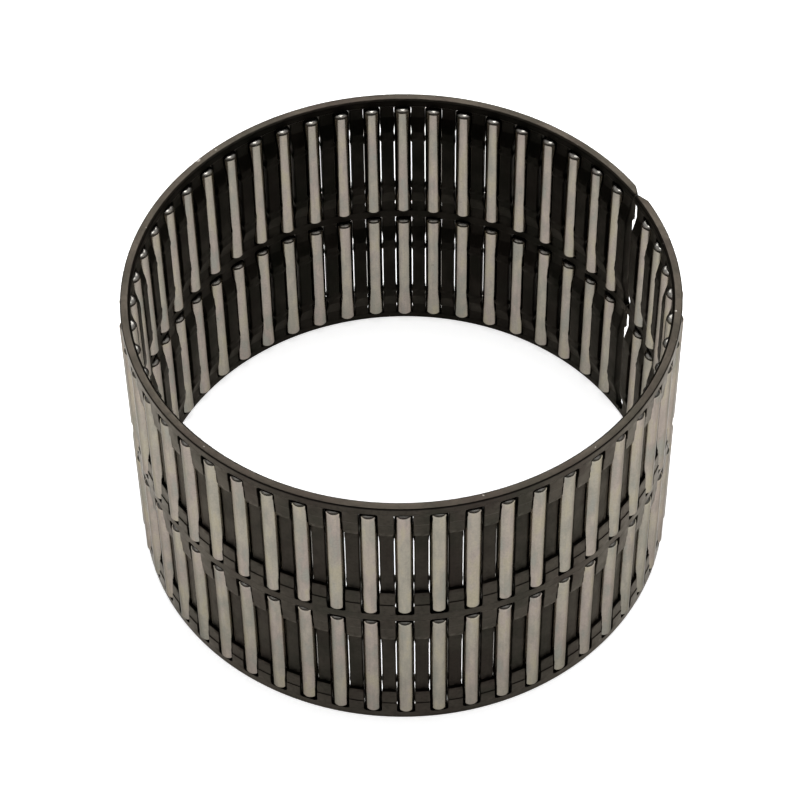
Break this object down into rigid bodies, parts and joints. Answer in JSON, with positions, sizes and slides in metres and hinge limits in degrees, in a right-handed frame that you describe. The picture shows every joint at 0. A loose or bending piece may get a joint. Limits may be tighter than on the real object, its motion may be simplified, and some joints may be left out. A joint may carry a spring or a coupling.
{
  "type": "needle roller and cage assembly",
  "caption": "Double-row needle roller bearing without rings: needles in a split M-section cage, running directly on a shaft and in a housing bore.",
  "frame": {"origin": "on the bearing axis in the plane of the lower end face", "axes": "+Z along the bearing axis, up through the cage; the split of the cage faces 27.3 degrees from +X towards +Y"},
  "size_m": [0.08, 0.08, 0.0487],
  "materials": {
    "cage_steel": "black-oxide, dull warm dark grey",
    "needle_steel": "ground, satin"
  },
  "bodies": {
    "cage": {"cage": "cage_steel"},
    "needles_01": {"needle_pair_01": "needle_steel"},
    "needles_02": {"needle_pair_02": "needle_steel"},
    "needles_03": {"needle_pair_03": "needle_steel"},
    "needles_04": {"needle_pair_04": "needle_steel"},
    "needles_05": {"needle_pair_05": "needle_steel"},
    "needles_06": {"needle_pair_06": "needle_steel"},
    "needles_07": {"needle_pair_07": "needle_steel"},
    "needles_08": {"needle_pair_08": "needle_steel"},
    "needles_09": {"needle_pair_09": "needle_steel"},
    "needles_10": {"needle_pair_10": "needle_steel"},
    "needles_11": {"needle_pair_11": "needle_steel"},
    "needles_12": {"needle_pair_12": "needle_steel"},
    "needles_13": {"needle_pair_13": "needle_steel"},
    "needles_14": {"needle_pair_14": "needle_steel"},
    "needles_15": {"needle_pair_15": "needle_steel"},
    "needles_16": {"needle_pair_16": "needle_steel"},
    "needles_17": {"needle_pair_17": "needle_steel"},
    "needles_18": {"needle_pair_18": "needle_steel"},
    "needles_19": {"needle_pair_19": "needle_steel"},
    "needles_20": {"needle_pair_20": "needle_steel"},
    "needles_21": {"needle_pair_21": "needle_steel"},
    "needles_22": {"needle_pair_22": "needle_steel"},
    "needles_23": {"needle_pair_23": "needle_steel"},
    "needles_24": {"needle_pair_24": "needle_steel"},
    "needles_25": {"needle_pair_25": "needle_steel"},
    "needles_26": {"needle_pair_26": "needle_steel"},
    "needles_27": {"needle_pair_27": "needle_steel"},
    "needles_28": {"needle_pair_28": "needle_steel"},
    "needles_29": {"needle_pair_29": "needle_steel"},
    "needles_30": {"needle_pair_30": "needle_steel"},
    "needles_31": {"needle_pair_31": "needle_steel"},
    "needles_32": {"needle_pair_32": "needle_steel"},
    "needles_33": {"needle_pair_33": "needle_steel"},
    "needles_34": {"needle_pair_34": "needle_steel"},
    "needles_35": {"needle_pair_35": "needle_steel"},
    "needles_36": {"needle_pair_36": "needle_steel"},
    "needles_37": {"needle_pair_37": "needle_steel"},
    "needles_38": {"needle_pair_38": "needle_steel"},
    "needles_39": {"needle_pair_39": "needle_steel"},
    "needles_40": {"needle_pair_40": "needle_steel"},
    "needles_41": {"needle_pair_41": "needle_steel"},
    "needles_42": {"needle_pair_42": "needle_steel"},
    "needles_43": {"needle_pair_43": "needle_steel"},
    "needles_44": {"needle_pair_44": "needle_steel"},
    "needles_45": {"needle_pair_45": "needle_steel"},
    "needles_46": {"needle_pair_46": "needle_steel"},
    "needles_47": {"needle_pair_47": "needle_steel"},
    "needles_48": {"needle_pair_48": "needle_steel"},
    "needles_49": {"needle_pair_49": "needle_steel"},
    "needles_50": {"needle_pair_50": "needle_steel"},
    "needles_51": {"needle_pair_51": "needle_steel"}
  },
  "joints": [
    {"name": "needle_roll_01", "type": "hinge", "parent": "cage", "child": "needles_01", "pos_m": [0.0323, 0.0214, 0.02435], "axis": [0, 0, 1], "continuous": true},
    {"name": "needle_roll_02", "type": "hinge", "parent": "cage", "child": "needles_02", "pos_m": [0.02948, 0.02515, 0.02435], "axis": [0, 0, 1], "continuous": true},
    {"name": "needle_roll_03", "type": "hinge", "parent": "cage", "child": "needles_03", "pos_m": [0.02622, 0.02854, 0.02435], "axis": [0, 0, 1], "continuous": true},
    {"name": "needle_roll_04", "type": "hinge", "parent": "cage", "child": "needles_04", "pos_m": [0.02257, 0.0315, 0.02435], "axis": [0, 0, 1], "continuous": true},
    {"name": "needle_roll_05", "type": "hinge", "parent": "cage", "child": "needles_05", "pos_m": [0.01859, 0.034, 0.02435], "axis": [0, 0, 1], "continuous": true},
    {"name": "needle_roll_06", "type": "hinge", "parent": "cage", "child": "needles_06", "pos_m": [0.01434, 0.036, 0.02435], "axis": [0, 0, 1], "continuous": true},
    {"name": "needle_roll_07", "type": "hinge", "parent": "cage", "child": "needles_07", "pos_m": [0.00988, 0.03747, 0.02435], "axis": [0, 0, 1], "continuous": true},
    {"name": "needle_roll_08", "type": "hinge", "parent": "cage", "child": "needles_08", "pos_m": [0.00527, 0.03839, 0.02435], "axis": [0, 0, 1], "continuous": true},
    {"name": "needle_roll_09", "type": "hinge", "parent": "cage", "child": "needles_09", "pos_m": [0.00059, 0.03875, 0.02435], "axis": [0, 0, 1], "continuous": true},
    {"name": "needle_roll_10", "type": "hinge", "parent": "cage", "child": "needles_10", "pos_m": [-0.00411, 0.03853, 0.02435], "axis": [0, 0, 1], "continuous": true},
    {"name": "needle_roll_11", "type": "hinge", "parent": "cage", "child": "needles_11", "pos_m": [-0.00874, 0.03775, 0.02435], "axis": [0, 0, 1], "continuous": true},
    {"name": "needle_roll_12", "type": "hinge", "parent": "cage", "child": "needles_12", "pos_m": [-0.01324, 0.03642, 0.02435], "axis": [0, 0, 1], "continuous": true},
    {"name": "needle_roll_13", "type": "hinge", "parent": "cage", "child": "needles_13", "pos_m": [-0.01755, 0.03455, 0.02435], "axis": [0, 0, 1], "continuous": true},
    {"name": "needle_roll_14", "type": "hinge", "parent": "cage", "child": "needles_14", "pos_m": [-0.02161, 0.03217, 0.02435], "axis": [0, 0, 1], "continuous": true},
    {"name": "needle_roll_15", "type": "hinge", "parent": "cage", "child": "needles_15", "pos_m": [-0.02534, 0.02932, 0.02435], "axis": [0, 0, 1], "continuous": true},
    {"name": "needle_roll_16", "type": "hinge", "parent": "cage", "child": "needles_16", "pos_m": [-0.0287, 0.02603, 0.02435], "axis": [0, 0, 1], "continuous": true},
    {"name": "needle_roll_17", "type": "hinge", "parent": "cage", "child": "needles_17", "pos_m": [-0.03164, 0.02237, 0.02435], "axis": [0, 0, 1], "continuous": true},
    {"name": "needle_roll_18", "type": "hinge", "parent": "cage", "child": "needles_18", "pos_m": [-0.03412, 0.01838, 0.02435], "axis": [0, 0, 1], "continuous": true},
    {"name": "needle_roll_19", "type": "hinge", "parent": "cage", "child": "needles_19", "pos_m": [-0.03609, 0.01411, 0.02435], "axis": [0, 0, 1], "continuous": true},
    {"name": "needle_roll_20", "type": "hinge", "parent": "cage", "child": "needles_20", "pos_m": [-0.03753, 0.00964, 0.02435], "axis": [0, 0, 1], "continuous": true},
    {"name": "needle_roll_21", "type": "hinge", "parent": "cage", "child": "needles_21", "pos_m": [-0.03842, 0.00503, 0.02435], "axis": [0, 0, 1], "continuous": true},
    {"name": "needle_roll_22", "type": "hinge", "parent": "cage", "child": "needles_22", "pos_m": [-0.03875, 0.00034, 0.02435], "axis": [0, 0, 1], "continuous": true},
    {"name": "needle_roll_23", "type": "hinge", "parent": "cage", "child": "needles_23", "pos_m": [-0.0385, -0.00435, 0.02435], "axis": [0, 0, 1], "continuous": true},
    {"name": "needle_roll_24", "type": "hinge", "parent": "cage", "child": "needles_24", "pos_m": [-0.0377, -0.00898, 0.02435], "axis": [0, 0, 1], "continuous": true},
    {"name": "needle_roll_25", "type": "hinge", "parent": "cage", "child": "needles_25", "pos_m": [-0.03633, -0.01347, 0.02435], "axis": [0, 0, 1], "continuous": true},
    {"name": "needle_roll_26", "type": "hinge", "parent": "cage", "child": "needles_26", "pos_m": [-0.03443, -0.01777, 0.02435], "axis": [0, 0, 1], "continuous": true},
    {"name": "needle_roll_27", "type": "hinge", "parent": "cage", "child": "needles_27", "pos_m": [-0.03203, -0.02181, 0.02435], "axis": [0, 0, 1], "continuous": true},
    {"name": "needle_roll_28", "type": "hinge", "parent": "cage", "child": "needles_28", "pos_m": [-0.02916, -0.02553, 0.02435], "axis": [0, 0, 1], "continuous": true},
    {"name": "needle_roll_29", "type": "hinge", "parent": "cage", "child": "needles_29", "pos_m": [-0.02585, -0.02887, 0.02435], "axis": [0, 0, 1], "continuous": true},
    {"name": "needle_roll_30", "type": "hinge", "parent": "cage", "child": "needles_30", "pos_m": [-0.02217, -0.03178, 0.02435], "axis": [0, 0, 1], "continuous": true},
    {"name": "needle_roll_31", "type": "hinge", "parent": "cage", "child": "needles_31", "pos_m": [-0.01816, -0.03423, 0.02435], "axis": [0, 0, 1], "continuous": true},
    {"name": "needle_roll_32", "type": "hinge", "parent": "cage", "child": "needles_32", "pos_m": [-0.01388, -0.03618, 0.02435], "axis": [0, 0, 1], "continuous": true},
    {"name": "needle_roll_33", "type": "hinge", "parent": "cage", "child": "needles_33", "pos_m": [-0.0094, -0.03759, 0.02435], "axis": [0, 0, 1], "continuous": true},
    {"name": "needle_roll_34", "type": "hinge", "parent": "cage", "child": "needles_34", "pos_m": [-0.00478, -0.03845, 0.02435], "axis": [0, 0, 1], "continuous": true},
    {"name": "needle_roll_35", "type": "hinge", "parent": "cage", "child": "needles_35", "pos_m": [-0.0001, -0.03875, 0.02435], "axis": [0, 0, 1], "continuous": true},
    {"name": "needle_roll_36", "type": "hinge", "parent": "cage", "child": "needles_36", "pos_m": [0.00459, -0.03848, 0.02435], "axis": [0, 0, 1], "continuous": true},
    {"name": "needle_roll_37", "type": "hinge", "parent": "cage", "child": "needles_37", "pos_m": [0.00922, -0.03764, 0.02435], "axis": [0, 0, 1], "continuous": true},
    {"name": "needle_roll_38", "type": "hinge", "parent": "cage", "child": "needles_38", "pos_m": [0.0137, -0.03625, 0.02435], "axis": [0, 0, 1], "continuous": true},
    {"name": "needle_roll_39", "type": "hinge", "parent": "cage", "child": "needles_39", "pos_m": [0.01799, -0.03432, 0.02435], "axis": [0, 0, 1], "continuous": true},
    {"name": "needle_roll_40", "type": "hinge", "parent": "cage", "child": "needles_40", "pos_m": [0.02201, -0.03189, 0.02435], "axis": [0, 0, 1], "continuous": true},
    {"name": "needle_roll_41", "type": "hinge", "parent": "cage", "child": "needles_41", "pos_m": [0.02571, -0.02899, 0.02435], "axis": [0, 0, 1], "continuous": true},
    {"name": "needle_roll_42", "type": "hinge", "parent": "cage", "child": "needles_42", "pos_m": [0.02903, -0.02567, 0.02435], "axis": [0, 0, 1], "continuous": true},
    {"name": "needle_roll_43", "type": "hinge", "parent": "cage", "child": "needles_43", "pos_m": [0.03192, -0.02197, 0.02435], "axis": [0, 0, 1], "continuous": true},
    {"name": "needle_roll_44", "type": "hinge", "parent": "cage", "child": "needles_44", "pos_m": [0.03435, -0.01794, 0.02435], "axis": [0, 0, 1], "continuous": true},
    {"name": "needle_roll_45", "type": "hinge", "parent": "cage", "child": "needles_45", "pos_m": [0.03626, -0.01365, 0.02435], "axis": [0, 0, 1], "continuous": true},
    {"name": "needle_roll_46", "type": "hinge", "parent": "cage", "child": "needles_46", "pos_m": [0.03765, -0.00916, 0.02435], "axis": [0, 0, 1], "continuous": true},
    {"name": "needle_roll_47", "type": "hinge", "parent": "cage", "child": "needles_47", "pos_m": [0.03848, -0.00454, 0.02435], "axis": [0, 0, 1], "continuous": true},
    {"name": "needle_roll_48", "type": "hinge", "parent": "cage", "child": "needles_48", "pos_m": [0.03875, 0.00015, 0.02435], "axis": [0, 0, 1], "continuous": true},
    {"name": "needle_roll_49", "type": "hinge", "parent": "cage", "child": "needles_49", "pos_m": [0.03845, 0.00484, 0.02435], "axis": [0, 0, 1], "continuous": true},
    {"name": "needle_roll_50", "type": "hinge", "parent": "cage", "child": "needles_50", "pos_m": [0.03758, 0.00946, 0.02435], "axis": [0, 0, 1], "continuous": true},
    {"name": "needle_roll_51", "type": "hinge", "parent": "cage", "child": "needles_51", "pos_m": [0.03616, 0.01393, 0.02435], "axis": [0, 0, 1], "continuous": true}
  ],
  "couplings": [
    {"joint": "needle_roll_02", "follows": "needle_roll_01", "ratio": 1},
    {"joint": "needle_roll_03", "follows": "needle_roll_01", "ratio": 1},
    {"joint": "needle_roll_04", "follows": "needle_roll_01", "ratio": 1},
    {"joint": "needle_roll_05", "follows": "needle_roll_01", "ratio": 1},
    {"joint": "needle_roll_06", "follows": "needle_roll_01", "ratio": 1},
    {"joint": "needle_roll_07", "follows": "needle_roll_01", "ratio": 1},
    {"joint": "needle_roll_08", "follows": "needle_roll_01", "ratio": 1},
    {"joint": "needle_roll_09", "follows": "needle_roll_01", "ratio": 1},
    {"joint": "needle_roll_10", "follows": "needle_roll_01", "ratio": 1},
    {"joint": "needle_roll_11", "follows": "needle_roll_01", "ratio": 1},
    {"joint": "needle_roll_12", "follows": "needle_roll_01", "ratio": 1},
    {"joint": "needle_roll_13", "follows": "needle_roll_01", "ratio": 1},
    {"joint": "needle_roll_14", "follows": "needle_roll_01", "ratio": 1},
    {"joint": "needle_roll_15", "follows": "needle_roll_01", "ratio": 1},
    {"joint": "needle_roll_16", "follows": "needle_roll_01", "ratio": 1},
    {"joint": "needle_roll_17", "follows": "needle_roll_01", "ratio": 1},
    {"joint": "needle_roll_18", "follows": "needle_roll_01", "ratio": 1},
    {"joint": "needle_roll_19", "follows": "needle_roll_01", "ratio": 1},
    {"joint": "needle_roll_20", "follows": "needle_roll_01", "ratio": 1},
    {"joint": "needle_roll_21", "follows": "needle_roll_01", "ratio": 1},
    {"joint": "needle_roll_22", "follows": "needle_roll_01", "ratio": 1},
    {"joint": "needle_roll_23", "follows": "needle_roll_01", "ratio": 1},
    {"joint": "needle_roll_24", "follows": "needle_roll_01", "ratio": 1},
    {"joint": "needle_roll_25", "follows": "needle_roll_01", "ratio": 1},
    {"joint": "needle_roll_26", "follows": "needle_roll_01", "ratio": 1},
    {"joint": "needle_roll_27", "follows": "needle_roll_01", "ratio": 1},
    {"joint": "needle_roll_28", "follows": "needle_roll_01", "ratio": 1},
    {"joint": "needle_roll_29", "follows": "needle_roll_01", "ratio": 1},
    {"joint": "needle_roll_30", "follows": "needle_roll_01", "ratio": 1},
    {"joint": "needle_roll_31", "follows": "needle_roll_01", "ratio": 1},
    {"joint": "needle_roll_32", "follows": "needle_roll_01", "ratio": 1},
    {"joint": "needle_roll_33", "follows": "needle_roll_01", "ratio": 1},
    {"joint": "needle_roll_34", "follows": "needle_roll_01", "ratio": 1},
    {"joint": "needle_roll_35", "follows": "needle_roll_01", "ratio": 1},
    {"joint": "needle_roll_36", "follows": "needle_roll_01", "ratio": 1},
    {"joint": "needle_roll_37", "follows": "needle_roll_01", "ratio": 1},
    {"joint": "needle_roll_38", "follows": "needle_roll_01", "ratio": 1},
    {"joint": "needle_roll_39", "follows": "needle_roll_01", "ratio": 1},
    {"joint": "needle_roll_40", "follows": "needle_roll_01", "ratio": 1},
    {"joint": "needle_roll_41", "follows": "needle_roll_01", "ratio": 1},
    {"joint": "needle_roll_42", "follows": "needle_roll_01", "ratio": 1},
    {"joint": "needle_roll_43", "follows": "needle_roll_01", "ratio": 1},
    {"joint": "needle_roll_44", "follows": "needle_roll_01", "ratio": 1},
    {"joint": "needle_roll_45", "follows": "needle_roll_01", "ratio": 1},
    {"joint": "needle_roll_46", "follows": "needle_roll_01", "ratio": 1},
    {"joint": "needle_roll_47", "follows": "needle_roll_01", "ratio": 1},
    {"joint": "needle_roll_48", "follows": "needle_roll_01", "ratio": 1},
    {"joint": "needle_roll_49", "follows": "needle_roll_01", "ratio": 1},
    {"joint": "needle_roll_50", "follows": "needle_roll_01", "ratio": 1},
    {"joint": "needle_roll_51", "follows": "needle_roll_01", "ratio": 1}
  ]
}
